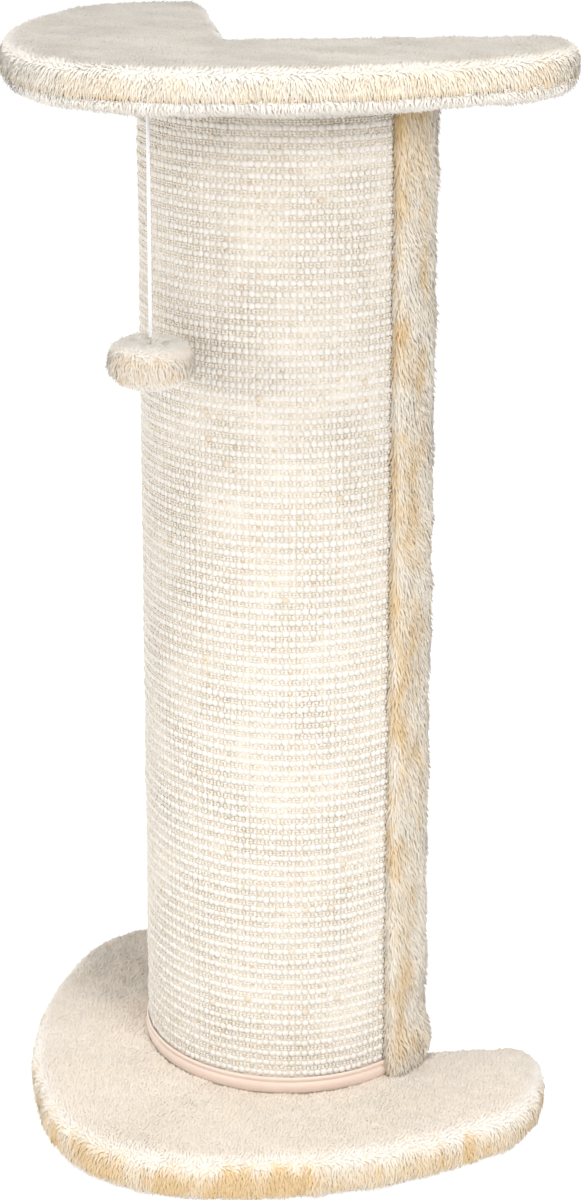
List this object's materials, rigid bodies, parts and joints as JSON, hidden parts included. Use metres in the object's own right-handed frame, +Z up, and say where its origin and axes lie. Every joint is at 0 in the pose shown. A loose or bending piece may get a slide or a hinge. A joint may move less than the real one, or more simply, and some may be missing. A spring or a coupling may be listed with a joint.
{
  "type": "cat scratching post",
  "caption": "Corner scratching post: curved sisal-faced tube, cut open at the back for a wall corner, between two plush-covered boards, with a pompom hanging on a string.",
  "frame": {"origin": "on the floor, under the middle of the outline seen from above", "axes": "+Z up, the rounded front faces -Y, the wall corner enters from +Y, +X to the right seen from the front"},
  "size_m": [0.398, 0.2902, 0.748],
  "materials": {
    "plush": "short cream plush pile, matt with light and tan streaks",
    "pompom": "cream plush, matt",
    "sisal": "woven sisal, off-white knots in rows over tan warp",
    "satin": "pale pink satin tape, soft sheen",
    "string": "white twisted cord",
    "chipboard": "raw chipboard",
    "cardboard": "brown wound cardboard",
    "steel": "zinc-plated steel"
  },
  "bodies": {
    "stand": {"base_board": "chipboard", "top_board": "chipboard", "bottom_former": "chipboard", "top_former": "chipboard", "base_cover": "plush", "top_cover": "plush", "top_under_cover": "plush", "left_side_strip": "plush", "right_side_strip": "plush", "post_tube": "cardboard", "sisal_mat": "sisal", "hem_tape": "satin", "string_loop": "string", "toy_staple": "steel", "base_bolt_left": "steel", "base_bolt_right": "steel", "base_washer_left": "steel", "base_washer_right": "steel", "base_tee_nut_left": "steel", "base_tee_nut_right": "steel", "top_bolt_left": "steel", "top_bolt_right": "steel", "top_washer_left": "steel", "top_washer_right": "steel", "top_tee_nut_left": "steel", "top_tee_nut_right": "steel"},
    "knot": {"string_knot": "string"},
    "toy": {"toy_string": "string", "toy_pompom": "pompom"}
  },
  "joints": [
    {"name": "toy_swing_out", "type": "hinge", "parent": "stand", "child": "knot", "pos_m": [0, -0.07613, 0.7138], "axis": [1, 0, 0], "range_deg": [-65, 3]},
    {"name": "toy_swing_side", "type": "hinge", "parent": "knot", "child": "toy", "pos_m": [0, -0.07613, 0.7138], "axis": [0, 1, 0], "range_deg": [-65, 65]}
  ]
}
